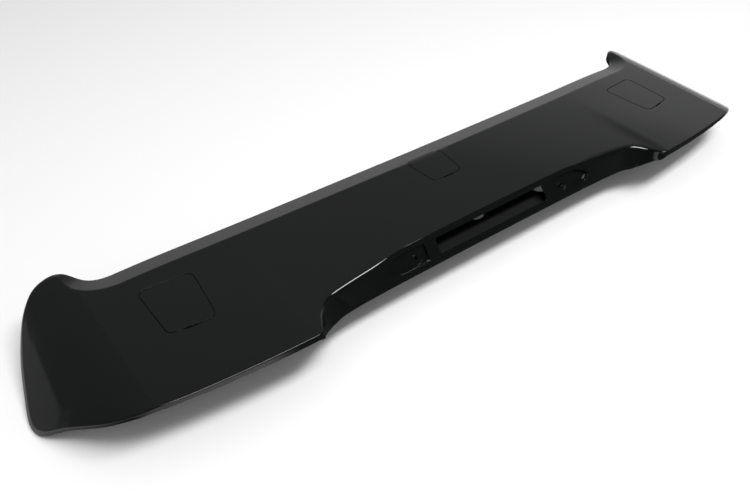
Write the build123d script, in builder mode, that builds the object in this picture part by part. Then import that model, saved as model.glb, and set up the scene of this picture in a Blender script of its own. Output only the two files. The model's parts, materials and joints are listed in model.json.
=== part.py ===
# Roof spoiler for a hatchback tailgate, in millimetres
# X runs along the span, Y runs forward to the roof, Z is up
# The top moulding is a hollow shell and the lower panel closes it from below
import os
from math import cos, hypot, pi, sin
from build123d import *

# Wall and lid sizes
wall = 3.0
panel_thick = 2.5
ledge_thick = 2.5
ledge_lip = 7.0
edge_radius = 3.5

# Trailing edge, half of the outline from the middle outwards
rear_y = -152.0
notch_corner_x = 330.0
end_points = [
    (notch_corner_x, rear_y), (389, -148.5), (463, -141), (522, -132), (553, -123), (585, -101),
    (604, -80), (620, -61), (636, -43), (648, -28), (654, -14), (655, 0), (653, 14), (648, 35),
    (638, 72), (625, 105.5), (612, 129), (598.5, 145), (587, 153), (575, 155.5), (563, 154.8), (553, 151.8),
    (545.5, 147), (539.5, 140.5), (534, 132.5), (528.5, 125.3), (520.5, 118.6), (509, 114.7), (494, 113.6),
]

# Leading edge: nearly straight, bowed forward towards the ends
front_y = 102.2
front_bow = 5.2e-5
band_width = 38.0
band_drop = 12.0
horn_band = [
    (504, 113.8, 6, 34.0), (512, 115.0, 18, 31.5), (518, 117.0, 32, 29.0), (524, 120.6, 45, 26.5),
    (529, 125.6, 54, 23.5), (534, 132.5, 59, 20.0), (540, 141.5, 56, 15.0), (546, 149.0, 50, 9.5), (556, 160.5, 48, 5.0),
]

# Camber of the top surface along the span, with the ends bent down and a steeper lip outside
camber = 3.4e-5
bend_x = 538.0
bend_length = 48.0
bend_slope = 0.70
lip_x = 609.0
lip_slope = 0.15
chord_points = [(-185, 0.0), (-152, 0.8), (-80, 2.5), (0, 4.2), (70, 6.0), (190, 7.6)]
stations = [0, 90, 180, 265, 340, 405, 460, 500, 530, 555, 575, 595, 615, 635, 655, 675]

# Depth of the section below the top surface
rear_depth = 8.0
front_depth = 20.0
full_depth = 38.0
depth_share = [(0, 1.0), (400, 1.0), (480, 0.85), (525, 0.68), (550, 0.56), (590, 0.38), (620, 0.28), (675, 0.2)]
front_share = [(0, 1.0), (540, 1.0), (590, 0.6), (675, 0.42)]
end_rest_z = -86.5

# Lamp wall in the notch of the trailing edge
lamp_wall_top = (-91.0, -3.0)
lamp_wall_low = (-110.0, -26.5)
notch_low_z = -30.0
notch_top = [(150, -79), (200, -85.5), (245, -92), (283, -99), (312, -113), (328, -135), (336, -165)]
notch_low = [(150, -112.8), (215, -113), (262, -114.5), (284, -121), (304, -135), (328, -150), (348, -165)]
window_length = 212.0
window_height = 23.6
raised_half = 126.0
pocket_end = 200.0
pocket_turn = 172.0
pocket_high = 13.0
pocket_low = -12.5
pocket_depth = 4.0
screw_x = 144.0
screw_hole_r = 2.0
screw_ring_r = 4.4
screw_dish_r = 11.0
screw_dish_depth = 0.8
screw_ring_height = 1.2
screw_ring_length = 12.0
lamp_hole_r = 14.5
lamp_holes = [(-130, -68), (0, -60), (130, -68)]

# Hatch covers, corners of the right one and of the middle one
side_hatch = [(418, -51), (480, -40.5), (484, 49.5), (409, 41.5)]
middle_hatch = [(-28, 2.5), (28, 2.5), (34.5, 67), (-34.5, 67)]
hatch_radius = 11.0
hatch_gap = 0.7
pry_length = 18.0
pry_width = 1.4
clip_gap = 0.4
clip_thick = 1.8
clip_length = 8.0
clip_catch = -1.0
clip_width = 12.0
post_r = 13.0
post_drop = 14.0
stud_hole_r = 4.25


def along(pairs, x):
    """Straight-line value between listed pairs."""
    for (x0, v0), (x1, v1) in zip(pairs, pairs[1:]):
        if x <= x1:
            return v0 + (v1 - v0) * (x - x0) / (x1 - x0)
    return pairs[-1][1]


def span_z(x):
    """Height of the top surface along the span."""
    d = max(0.0, abs(x) - bend_x)
    ramp = min(d, bend_length)
    bend = bend_slope * (ramp * ramp / (2 * bend_length) + max(0.0, d - bend_length))
    return -camber * x * x - bend - lip_slope * max(0.0, abs(x) - lip_x)


def leading_y(x):
    return front_y + front_bow * x * x


def trailing_y(x):
    half = [(0, rear_y)] + [p for p in end_points if p[1] < 1]
    return along(half, abs(x))


def top_z(x, y):
    return span_z(x) + along(chord_points, y)


def section_points(x, top_drop, low_lift):
    """Corner points of the chord section at one station."""
    share = along(depth_share, abs(x))
    lead = front_depth * along(front_share, abs(x))
    back, front = trailing_y(x), leading_y(x)
    top = [(y, top_z(x, y) - top_drop) for y, _ in chord_points]
    low = [
        (190, lead * 0.8),
        (front + 2, lead),
        (front - 45, full_depth * share),
        (back + 32, full_depth * share * 0.92),
        (back - 2, rear_depth * max(share, 0.8)),
        (-185, 5.0),
    ]
    return top, [(y, top_z(x, y) - depth + low_lift) for y, depth in low]


def layer(top_drop, low_lift):
    """Solid between the lowered top surface and the lifted underside."""
    with BuildPart() as block:
        for x in [-s for s in reversed(stations[1:])] + stations:
            top, low = section_points(x, top_drop, low_lift)
            with BuildSketch(Plane.YZ.offset(x)):
                with BuildLine():
                    Spline(*top)
                    Polyline(top[-1], *low, top[0])
                make_face()
        loft()
    return block.part


def drawn_in(points, d):
    """Points of an outline moved inwards, square to it."""
    moved = []
    for i, (x, y) in enumerate(points):
        (xa, ya), (xb, yb) = points[max(i - 1, 0)], points[min(i + 1, len(points) - 1)]
        n = hypot(xb - xa, yb - ya)
        moved.append((x - d * (yb - ya) / n, y + d * (xb - xa) / n))
    return moved


def plan_prism(inset):
    """Upright block with the outline of the spoiler seen from above."""
    leading = [(x, leading_y(x)) for x in (360, 180)]
    points = drawn_in([(0, rear_y)] + end_points + leading, inset)
    corner = len(end_points)
    with BuildPart() as block:
        with BuildSketch(Plane.XY.offset(-140)):
            with BuildLine():
                Line((0, rear_y + inset), points[1])
                Spline(*points[1:corner + 1])
                Spline(*points[corner:], (0, front_y - inset), tangents=[(-1, 0), (-1, 0)])
                mirror(about=Plane.YZ)
            make_face()
        extrude(amount=170)
    return block.part


def wall_line_y(z):
    """Y of the lamp wall at a height, on its straight middle part."""
    (y0, z0), (y1, z1) = lamp_wall_top, lamp_wall_low
    return y0 + (y1 - y0) * (z - z0) / (z1 - z0)


def notch_cutter(grow):
    """Block behind the slanted lamp wall, moved forward to leave a wall."""
    reach = 1 + grow / notch_corner_x
    with BuildPart() as block:
        for z, pts in ((12.0, notch_top), (notch_low_z, notch_low)):
            y0 = wall_line_y(z) + grow
            side = [(x * reach, y + grow) for x, y in pts[1:]]
            with BuildSketch(Plane.XY.offset(z)):
                with BuildLine():
                    Line((0, y0), (pts[0][0], y0))
                    Spline((pts[0][0], y0), *side, tangents=[(1, 0), (0.1, -1)])
                    Polyline(side[-1], (side[-1][0], -200), (0, -200))
                    mirror(about=Plane.YZ)
                make_face()
        loft(ruled=True)
        low_face = block.faces().sort_by(Axis.Z)[0]
        extrude(low_face, amount=90)
    return block.part


def band_frame(x, y, lean, width, drop):
    """Upright plane across the leading edge and the wedge corners on it."""
    a = lean * pi / 180
    nx, ny = -sin(a), cos(a)
    z_in = top_z(x - nx * width, y - ny * width) - drop
    z_out = top_z(x, y) - band_drop * width / band_width - drop
    z_far = z_out - (z_in - z_out) * 12 / width
    frame = Plane(origin=(x, y, 0), x_dir=(nx, ny, 0), z_dir=(ny, -nx, 0))
    return frame, [(-width, z_in), (12, z_far), (12, z_in + 25), (-width, z_in + 25)]


def band_cutter(drop):
    """Wedge over the leading edge that leaves the sloping band below it."""
    straight = [(x, leading_y(x), 0, band_width) for x in (0, 170, 340, 460)]
    straight += [end_points[-1] + (0, band_width - 2)]
    with BuildPart() as block:
        for run, flat in ((straight, False), ([straight[-1]] + horn_band, True)):
            with BuildPart() as piece:
                for x, y, lean, width in run:
                    frame, corners = band_frame(x, y, lean, width, drop)
                    with BuildSketch(frame):
                        Polygon(*corners, align=None)
                loft(ruled=flat)
            add(piece)
        mirror(about=Plane.YZ)
    return block.part


def spoiler(top_drop, low_lift, inset, grow):
    """Spoiler shape, lowered, lifted and drawn in to leave a wall."""
    with BuildPart() as shape:
        add(layer(top_drop, low_lift))
        add(plan_prism(inset), mode=Mode.INTERSECT)
        add(notch_cutter(grow), mode=Mode.SUBTRACT)
        add(band_cutter(top_drop), mode=Mode.SUBTRACT)
    return shape.part


def hatch_prism(corners, grow):
    """Upright block with the rounded outline of a hatch cover."""
    with BuildPart() as block:
        with BuildSketch(Plane.XY.offset(-45)):
            with BuildLine():
                Polyline(*corners, close=True)
            make_face()
            fillet(vertices(), radius=hatch_radius)
            if grow != 0:
                offset(amount=grow, mode=Mode.REPLACE)
        extrude(amount=70)
    return block.part


def middle_of(corners):
    return sum(x for x, _ in corners) / 4, sum(y for _, y in corners) / 4


def pocket_sketch(grow):
    """D-shaped outlines of the two screw pockets on the lamp wall."""
    low, high = pocket_low - grow, pocket_high + grow
    inner, outer_end = raised_half - grow, pocket_end + grow
    with BuildSketch(slope) as d:
        with BuildLine():
            Polyline((pocket_turn, low), (inner, low), (inner, high), (pocket_turn, high))
            Spline((pocket_turn, high), (outer_end, -1), (pocket_turn, low), tangents=[(1, 0), (-1, 0)])
        make_face()
        mirror(about=Plane.YZ)
    return d.sketch


# Lamp wall frame: x along the span, y up the slope, z out to the rear
slope = Plane(
    origin=(0, (lamp_wall_top[0] + lamp_wall_low[0]) / 2, (lamp_wall_top[1] + lamp_wall_low[1]) / 2),
    x_dir=(1, 0, 0),
    z_dir=(0, lamp_wall_low[1] - lamp_wall_top[1], lamp_wall_top[0] - lamp_wall_low[0]),
)
hatches = {
    "hatch_left": [(-x, y) for x, y in side_hatch],
    "hatch_middle": middle_hatch,
    "hatch_right": side_hatch,
}
full = layer(0, 0)
below_skin = layer(wall, -60)
below_ledge = layer(wall + ledge_thick, -60)
below_gap = layer(wall + ledge_thick + clip_gap, -60)
below_clip = layer(wall + clip_length, -60)

# Top moulding: rounded outside, hollow inside
with BuildPart() as wing_shell:
    add(spoiler(0, 0, 0, 0))
    top_face = faces().filter_by(lambda f: f.normal_at(None).Z > 0.8).sort_by(SortBy.AREA)[-1]
    rim = top_face.outer_wire().edges()
    fillet(rim.filter_by(lambda e: e.center().Y < -60), radius=edge_radius)
    add(spoiler(wall, -60, wall, wall * 1.3), mode=Mode.SUBTRACT)
    with Locations((0, 0, end_rest_z)):
        Box(1400, 500, 60, align=(Align.CENTER, Align.CENTER, Align.MAX), mode=Mode.SUBTRACT)
    # Ledges that carry the three hatch covers, and the openings above them
    with BuildPart(mode=Mode.PRIVATE) as ledges:
        for corners in hatches.values():
            add(hatch_prism(corners, 8))
            add(hatch_prism(corners, -ledge_lip), mode=Mode.SUBTRACT)
        add(below_skin, mode=Mode.INTERSECT)
        add(below_ledge, mode=Mode.SUBTRACT)
    add(ledges.part)
    with BuildPart(mode=Mode.PRIVATE) as openings:
        for corners in hatches.values():
            add(hatch_prism(corners, 0))
            near = min(corners, key=lambda c: c[1])
            far = [c for c in corners if c[1] < middle_of(corners)[1] and c != near][0]
            pry = ((near[0] + far[0]) / 2, (near[1] + far[1]) / 2)
            with BuildPart(mode=Mode.PRIVATE) as slot:
                with Locations((pry[0], pry[1], 0)):
                    Box(pry_length, 12, 90)
                add(hatch_prism(corners, pry_width), mode=Mode.INTERSECT)
            add(slot.part)
        add(below_skin, mode=Mode.SUBTRACT)
    add(openings.part, mode=Mode.SUBTRACT)
    # Screw pockets sunk into the lamp wall, with a wall behind them
    extrude(pocket_sketch(wall), amount=-(pocket_depth + wall))
    extrude(pocket_sketch(0), amount=-pocket_depth, mode=Mode.SUBTRACT)
    extrude(pocket_sketch(0), amount=12, mode=Mode.SUBTRACT)
    for side in (-1, 1):
        with Locations(slope * Pos(side * screw_x, -0.5, -pocket_depth)):
            Cylinder(screw_dish_r, 2 * screw_dish_depth, mode=Mode.SUBTRACT)
            Cylinder(screw_ring_r, screw_ring_length, align=(Align.CENTER, Align.CENTER, Align.MAX))
            Cylinder(screw_ring_r, screw_ring_height, align=(Align.CENTER, Align.CENTER, Align.MIN))
            Cylinder(screw_hole_r, 3 * screw_ring_length, mode=Mode.SUBTRACT)
    # Lamp window
    with BuildSketch(slope):
        with Locations((0, 0.8)):
            RectangleRounded(window_length, window_height, 2.5)
    extrude(amount=20, both=True, mode=Mode.SUBTRACT)

# Lower panel: thin lid that closes the shell from below
with BuildPart() as lower_panel:
    add(full)
    add(plan_prism(wall), mode=Mode.INTERSECT)
    add(notch_cutter(wall * 1.3), mode=Mode.SUBTRACT)
    add(layer(-20, panel_thick), mode=Mode.SUBTRACT)
    with Locations((0, 0, end_rest_z)):
        Box(1400, 500, 60, align=(Align.CENTER, Align.CENTER, Align.MAX), mode=Mode.SUBTRACT)
    with Locations(*[(x, y, -33) for x, y in lamp_holes]):
        Cylinder(lamp_hole_r, 20, mode=Mode.SUBTRACT)
    # Pedestals with a bolt hole under each hatch
    for corners in hatches.values():
        x, y = middle_of(corners)
        with BuildPart(mode=Mode.PRIVATE) as post:
            with Locations((x, y, top_z(x, y) - post_drop)):
                Cylinder(post_r, 60, align=(Align.CENTER, Align.CENTER, Align.MAX))
            add(full, mode=Mode.INTERSECT)
        add(post.part)
        with Locations((x, y, top_z(x, y) - post_drop - wall)):
            Cylinder(post_r - panel_thick, 60, align=(Align.CENTER, Align.CENTER, Align.MAX), mode=Mode.SUBTRACT)
            Cylinder(stud_hole_r, 60, mode=Mode.SUBTRACT)

# Hatch covers: flush lids with four snap clips each
covers = {}
for name, corners in hatches.items():
    x, y = middle_of(corners)
    with BuildPart() as cover:
        add(hatch_prism(corners, -hatch_gap))
        add(full, mode=Mode.INTERSECT)
        add(below_skin, mode=Mode.SUBTRACT)
        if max(corner_y for _, corner_y in corners) > front_y - band_width:
            add(band_cutter(0), mode=Mode.SUBTRACT)
        with BuildPart(mode=Mode.PRIVATE) as clips:
            add(hatch_prism(corners, -ledge_lip - clip_gap))
            add(below_skin, mode=Mode.INTERSECT)
            with BuildPart(mode=Mode.PRIVATE) as hook:
                add(hatch_prism(corners, -ledge_lip + clip_catch))
                add(below_gap, mode=Mode.INTERSECT)
            add(hook.part)
            add(hatch_prism(corners, -ledge_lip - clip_gap - clip_thick), mode=Mode.SUBTRACT)
            add(below_clip, mode=Mode.SUBTRACT)
            with BuildPart(mode=Mode.PRIVATE) as cross:
                with Locations((x, y, 0)):
                    Box(clip_width, 200, 100)
                    Box(200, clip_width, 100)
            add(cross.part, mode=Mode.INTERSECT)
        add(clips.part)
    covers[name] = cover.part

# The origin goes to the middle of the footprint, on the floor
box = wing_shell.part.bounding_box()
seat = Pos(-box.center().X, -box.center().Y, -box.min.Z)
os.makedirs("parts", exist_ok=True)
nodes = {"wing_shell": wing_shell.part, "lower_panel": lower_panel.part, **covers}
for name, solid in nodes.items():
    placed = seat * solid
    placed.label = name
    export_step(placed, f"parts/{name}.step")
    print(name, placed.is_valid, len(placed.solids()), round(placed.volume / 1000, 1), "cm3")
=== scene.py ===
# %% [markdown]
# # A gloss black roof spoiler in a white studio
#
# The object is the spoiler that sits over the rear window of a large hatchback, at the end of the roof.
# It is a wide hollow moulding in ABS, painted gloss black, with a matt panel that closes it from below.
# The solids come from the CAD model. This notebook makes the visible skin again with a finer mesh,
# because gloss paint works like a mirror, and a mirror shows every facet of a coarse mesh.

# %% Load the solids as a fixed frame
import json
import math

import bmesh
import bpy
import numpy as np
from mathutils import Matrix, Vector
from mathutils.geometry import delaunay_2d_cdt

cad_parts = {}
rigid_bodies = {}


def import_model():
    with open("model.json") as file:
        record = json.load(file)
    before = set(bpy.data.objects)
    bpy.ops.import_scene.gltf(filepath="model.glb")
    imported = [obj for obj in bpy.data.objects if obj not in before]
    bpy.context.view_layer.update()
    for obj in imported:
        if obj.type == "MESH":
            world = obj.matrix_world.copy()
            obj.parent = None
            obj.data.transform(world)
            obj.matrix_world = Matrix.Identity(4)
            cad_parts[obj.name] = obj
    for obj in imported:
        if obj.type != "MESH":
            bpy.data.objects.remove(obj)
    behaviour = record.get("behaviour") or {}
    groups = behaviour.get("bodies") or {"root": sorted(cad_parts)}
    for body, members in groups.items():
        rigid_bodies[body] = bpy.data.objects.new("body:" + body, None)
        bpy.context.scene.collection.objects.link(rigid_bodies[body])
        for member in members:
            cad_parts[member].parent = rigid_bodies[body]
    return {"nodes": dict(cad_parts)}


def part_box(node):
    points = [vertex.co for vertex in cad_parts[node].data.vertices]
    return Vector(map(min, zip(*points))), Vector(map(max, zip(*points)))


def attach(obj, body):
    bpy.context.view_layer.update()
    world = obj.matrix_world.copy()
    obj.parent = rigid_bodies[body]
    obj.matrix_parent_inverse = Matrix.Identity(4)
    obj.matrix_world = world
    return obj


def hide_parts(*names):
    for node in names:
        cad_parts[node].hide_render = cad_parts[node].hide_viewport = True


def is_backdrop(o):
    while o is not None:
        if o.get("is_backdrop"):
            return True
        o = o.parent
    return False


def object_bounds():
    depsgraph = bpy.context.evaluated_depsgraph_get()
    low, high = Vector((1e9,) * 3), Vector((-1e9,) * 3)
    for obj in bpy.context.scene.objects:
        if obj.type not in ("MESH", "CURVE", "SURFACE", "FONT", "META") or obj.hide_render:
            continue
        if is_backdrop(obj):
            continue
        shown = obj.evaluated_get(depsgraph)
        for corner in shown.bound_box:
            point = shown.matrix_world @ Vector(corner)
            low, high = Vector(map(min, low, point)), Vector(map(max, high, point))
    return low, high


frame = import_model()
cad_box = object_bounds()
shell_low, shell_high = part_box("wing_shell")
print("size in mm", [round((b - a) * 1000, 1) for a, b in zip(shell_low, shell_high)])

# %% [markdown]
# ## Sizes
#
# The spoiler is worked out in millimetres, with x along the span and y forward to the roof.
# The top surface is near z = 0 there, so one small function moves points onto the CAD solids. It uses a
# shift that is measured further down, when the edge line is known.

# %% Main sizes in millimetres
REAR_Y = -152.0
FRONT_Y = 102.2
FRONT_BOW = 5.2e-5
REST_Z = -86.5
WALL = 3.0
BAND_WIDTH = 38.0
BAND_DROP = 12.0
CREASE = 4.0


def to_metres(points):
    """Points in the spoiler's own millimetres, as metres in the frame of the solids."""
    return (np.asarray(points, float) + SHIFT) / 1000


print("band slope in degrees", round(math.degrees(math.atan2(BAND_DROP, BAND_WIDTH)), 1))

# %% [markdown]
# ## The top surface
#
# The top is nearly flat. It falls slowly from the middle to the sides, and rises a little to the front.
# Close to each end it bends down over the body side. The bend starts at a crisp line, then gets steeper
# smoothly, and a steeper lip follows near the rim. Gloss paint shows a crisp line as a sharp change of
# tone, and a slow change of slope as a soft one, so each has its own length. Beside the ends of the notch
# a ridge of about a millimetre bends the reflections into a dark band.

# %% Height of the top surface
CAMBER = 3.4e-5
BEND_X, BEND_SKEW, BEND_LENGTH, BEND_SLOPE = 536.8, 0.0324, 74.0, 0.70
BEND_START, START_LENGTH = 0.18, 4.0
LIP_X, LIP_SKEW, LIP_LENGTH, LIP_SLOPE = 615.0, -0.05, 4.0, 0.19
RIDGE_X, RIDGE_RISE, RIDGE_LENGTH, RIDGE_FALL = 336.0, 1.35, 38.0, 190.0
RIDGE_FRONT, RIDGE_FADE = 50.0, 150.0
CHORD = np.polyfit([-185, -152, -80, 0, 70, 190], [0.0, 0.8, 2.5, 4.2, 6.0, 7.6], 3)


def smooth(share):
    """Smooth step from 0 to 1 for a share between 0 and 1."""
    u = np.clip(share, 0, 1)
    return u * u * (3 - 2 * u)


def turned_down(past, length, slope):
    """Drop at a distance past a line, where the slope grows smoothly over a length."""
    u = np.clip(past / length, 0, 1)
    return slope * (length * (u**3 - u**4 / 2) + np.clip(past - length, 0, None))


def top_z(x, y):
    """Height of the top surface over a point of the plan."""
    side, y = np.abs(x), np.asarray(y, float)
    past_bend = np.clip(side - BEND_X - BEND_SKEW * y, 0, None)
    bend = turned_down(past_bend, START_LENGTH, BEND_START)
    bend = bend + turned_down(past_bend, BEND_LENGTH, BEND_SLOPE - BEND_START)
    lip = turned_down(np.clip(side - LIP_X - LIP_SKEW * y, 0, None), LIP_LENGTH, LIP_SLOPE)
    rise = np.clip((side - RIDGE_X) / RIDGE_LENGTH + 1, 0, 1) ** 3
    fall = 1 - smooth((side - RIDGE_X) / RIDGE_FALL)
    ridge = RIDGE_RISE * rise * fall * smooth((RIDGE_FRONT - y) / RIDGE_FADE)
    return -CAMBER * np.square(x) - bend - lip + ridge + np.polyval(CHORD, y)


def skin_z(x, y):
    """Height of the top with the front band cut into it, for the middle part of the span."""
    into_band = y - (FRONT_Y + FRONT_BOW * np.square(x) - BAND_WIDTH)
    soft = np.clip(into_band + CREASE, 0, 2 * CREASE)
    drop = np.square(soft) / (4 * CREASE) + np.clip(into_band - CREASE, 0, None)
    return top_z(x, y) - drop * BAND_DROP / BAND_WIDTH


print("height at the middle and at the end", round(float(top_z(0, 0)), 1), round(float(top_z(650, 0)), 1))

# %% [markdown]
# ## Smooth curves
#
# Outlines are given by a few points and joined by a natural cubic spline, as a draughtsman bends a
# thin strip of wood round pins. The strip takes the fairest line through the pins. A curve object could
# do the same, but its points would still have to be read back to build the sections.

# %% Spline through points
def fair_curve(points, count, lead=None, tail=None):
    """Points on the smooth curve through the given ones, with optional end directions."""
    p = np.array(points, float)
    t = np.r_[0, np.cumsum(np.linalg.norm(np.diff(p, axis=0), axis=1))]
    h = np.diff(t)
    last = len(p) - 1
    a, b = np.eye(last + 1), np.zeros_like(p)
    for i in range(1, last):
        a[i, i - 1 : i + 2] = h[i - 1], 2 * (h[i - 1] + h[i]), h[i]
        b[i] = 6 * ((p[i + 1] - p[i]) / h[i] - (p[i] - p[i - 1]) / h[i - 1])
    if lead is not None:
        a[0, :2] = 2 * h[0], h[0]
        b[0] = 6 * ((p[1] - p[0]) / h[0] - np.array(lead, float))
    if tail is not None:
        a[last, last - 1 :] = h[-1], 2 * h[-1]
        b[last] = 6 * (np.array(tail, float) - (p[-1] - p[-2]) / h[-1])
    m = np.linalg.solve(a, b)
    s = np.linspace(0, t[-1], count)
    i = np.clip(np.searchsorted(t, s) - 1, 0, last - 1)
    u = ((t[i + 1] - s) / h[i])[:, None]
    v = ((s - t[i]) / h[i])[:, None]
    curl = ((u**3 - u) * m[i] + (v**3 - v) * m[i + 1]) * np.square(h[i])[:, None] / 6
    return u * p[i] + v * p[i + 1] + curl


print("top of a bow over three pins", fair_curve([(0, 0), (10, 5), (20, 0)], 3)[1].round(2))

# %% [markdown]
# ## The edge line
#
# One closed line runs round the spoiler where the top meets the sides: along the notch for the lamp,
# round a corner to the trailing edge, over the bent end, round the horn and back along the leading edge.
# Only the right half is listed. Each station also says which way is inwards.

# %% Edge line of the right half
NOTCH_TOP = [
    (150, -79), (200, -85), (245, -91), (280, -96), (300, -101.5), (313, -113), (323, -133), (334, -165),
]  # fmt: skip
NOTCH_LOW = [(150, -112.8), (215, -113), (262, -114.5), (288, -119), (306, -131), (324, -149), (344, -165)]
NOTCH_TOP_Z = 12.0
NOTCH_LOW_Z = -30.0
LAMP_WALL_TOP = (-91.0, -3.0)
LAMP_WALL_LOW = (-110.0, -26.5)
WALL_TILT = (LAMP_WALL_LOW[0] - LAMP_WALL_TOP[0]) / (LAMP_WALL_LOW[1] - LAMP_WALL_TOP[1])
END_POINTS = [
    (330, -152), (389, -148.5), (463, -141), (522, -132), (553, -123), (585, -101),
    (604, -80), (620, -61), (636, -43), (648, -28), (654, -14), (655, 0), (653, 14), (648, 35),
    (638, 72), (625, 105.5), (612, 129), (598.5, 145), (587, 153), (575, 155.5), (563, 154.8), (553, 151.8),
    (545.5, 147), (539.5, 140.5), (534, 132.5), (528.5, 125.3), (520.5, 118.6), (509, 114.7), (494, 113.6),
]  # fmt: skip
print("points given by hand", len(NOTCH_TOP) + len(NOTCH_LOW) + len(END_POINTS))

# %% Lines of the notch
def wall_y(z):
    """Y of the lamp wall at a height, on its straight middle part."""
    return LAMP_WALL_TOP[0] + WALL_TILT * (z - LAMP_WALL_TOP[1])


def notch_lines(count):
    """The top and the low line of the notch, as matching points from the middle outwards."""
    lines = []
    for z, pts in ((NOTCH_TOP_Z, NOTCH_TOP), (NOTCH_LOW_Z, NOTCH_LOW)):
        start = (pts[0][0], wall_y(z))
        bent = fair_curve([start] + pts[1:], 5 * count, lead=(1, 0), tail=(0.1, -1))
        straight = np.linspace((0, start[1]), start, count, endpoint=False)
        lines.append(np.r_[straight, bent[::5]])
    return lines


def on_wall(top, low, z):
    """Point of the slanted notch wall at a height, between its two lines."""
    share = (NOTCH_TOP_Z - max(z, NOTCH_LOW_Z)) / (NOTCH_TOP_Z - NOTCH_LOW_Z)
    x, y = top + (low - top) * share
    return np.array([x, y, z])


print("notch stations", len(notch_lines(30)[0]))

# %% [markdown]
# ## The underside
#
# The section gets deeper from the trailing edge forwards and is thin again at the leading edge.
# Towards the ends the whole section gets thinner. The side walls stop where they meet this underside.

# %% Height of the underside
FULL_DEPTH, REAR_DEPTH, FRONT_DEPTH = 38.0, 8.0, 20.0
DEPTH_SHARE = [(0, 400, 480, 525, 550, 590, 620, 675), (1.0, 1.0, 0.85, 0.68, 0.56, 0.38, 0.28, 0.2)]
FRONT_SHARE = [(0, 540, 590, 675), (1.0, 1.0, 0.6, 0.42)]
REAR_LINE = np.array([(0, REAR_Y)] + [p for p in END_POINTS if p[1] < 1], float)


def leading_y(x):
    """Y of the leading edge."""
    return FRONT_Y + FRONT_BOW * x * x


def low_z(x, y):
    """Height of the underside under a point of the plan."""
    x = abs(x)
    share, lead = np.interp(x, *DEPTH_SHARE), FRONT_DEPTH * np.interp(x, *FRONT_SHARE)
    back, front = np.interp(x, REAR_LINE[:, 0], REAR_LINE[:, 1]), leading_y(x)
    ys = np.array([-185, back - 2, back + 32, front - 45, front + 2, 190])
    rear, full = REAR_DEPTH * max(share, 0.8), FULL_DEPTH * share
    depth = [5, rear, full * 0.92, full, lead, lead * 0.8]
    return max(float(np.interp(y, ys, top_z(x, ys) - np.array(depth))), REST_Z)


print("depth in the middle", round(float(top_z(0, 0)) - low_z(0, 0), 1))

# %% [markdown]
# ## Section columns
#
# At each station a column of points goes from the top surface over the edge and down the side.
# Its corners are listed first and then rounded. A painted moulding has no sharp corner: each rounding
# catches a thin line of light, and those lines draw the shape of a black object. A rounding may reach
# further along one side of its corner than along the other, and is then given as two lengths. A bevel
# modifier could round the corners too, but not with a length that changes slowly along an edge.

# %% Rounded column
def rounded(corners, radii, steps):
    """A polyline with its inner corners replaced by short curves of equal point count."""
    corners = [np.asarray(c, float) for c in corners]
    out = [corners[0]]
    for before, c, after, r in zip(corners, corners[1:], corners[2:], radii):
        lengths = [max(np.linalg.norm(p - c), 1e-6) for p in (before, after)]
        legs = r if isinstance(r, tuple) else (min(r, 0.45 * min(lengths)),) * 2
        a, b = (c + (p - c) * min(leg, 0.45 * n) / n for p, n, leg in zip((before, after), lengths, legs))
        for u in np.linspace(0, 1, steps):
            out.append((1 - u) ** 2 * a + 2 * u * (1 - u) * c + u * u * b)
    out.append(corners[-1])
    return np.array(out)


STEPS = 8
print("points in one rounding", STEPS)

# %% [markdown]
# ## Stations along the notch
#
# The notch wall is a ruled surface: straight lines join its top curve to its low curve. The edge of the
# spoiler there is the line where this wall meets the top surface, found with a few repeated steps.

# %% Stations of the notch
def inward_of(edge):
    """Unit directions to the left of a line of points in plan, which is towards the body."""
    step = np.gradient(edge[:, :2], axis=0)
    step /= np.linalg.norm(step, axis=1)[:, None]
    return np.c_[-step[:, 1], step[:, 0]]


def notch_stations():
    """Edge, knee and foot of the notch wall for each station, from the middle to the corner."""
    rows = []
    for top, low in zip(*notch_lines(30)):
        z = 0.0
        for _ in range(8):
            z = float(top_z(*on_wall(top, low, z)[:2]))
        edge = on_wall(top, low, z)
        if edge[1] < REAR_Y + 0.2:
            break
        foot_z = z - 8
        for _ in range(8):
            foot_z = low_z(*on_wall(top, low, foot_z)[:2])
        foot = on_wall(top, low, foot_z)
        knee = on_wall(top, low, NOTCH_LOW_Z) if foot_z < NOTCH_LOW_Z - 1 else (edge + 2 * foot) / 3
        rows.append((edge, knee, foot))
    return [np.array(r) for r in zip(*rows)]


notch_edge, notch_knee, notch_foot = notch_stations()
print("notch ends at", notch_edge[-1].round(1), "wall foot in the middle", notch_foot[0].round(1))

# %% [markdown]
# ## Stations along the rest of the edge
#
# The side wall is upright here. Along the front a sloping band, like a wide chamfer, takes 12 mm off the
# leading edge. It turns up along the inner side of each horn and gets narrower until it fades out.

# %% Stations of the end, the horn and the leading edge
HORN_BAND = np.array([
    (494, 113.6, 0, 36.0), (504, 113.8, 6, 34.0), (512, 115.0, 18, 31.5), (518, 117.0, 32, 29.0),
    (524, 120.6, 45, 26.5), (529, 125.6, 54, 23.5), (534, 132.5, 59, 20.0), (540, 141.5, 56, 15.0),
    (546, 149.0, 50, 9.5), (556, 154.5, 44, 4.0),
])  # fmt: skip
CORNER_REACH = 8.0

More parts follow.
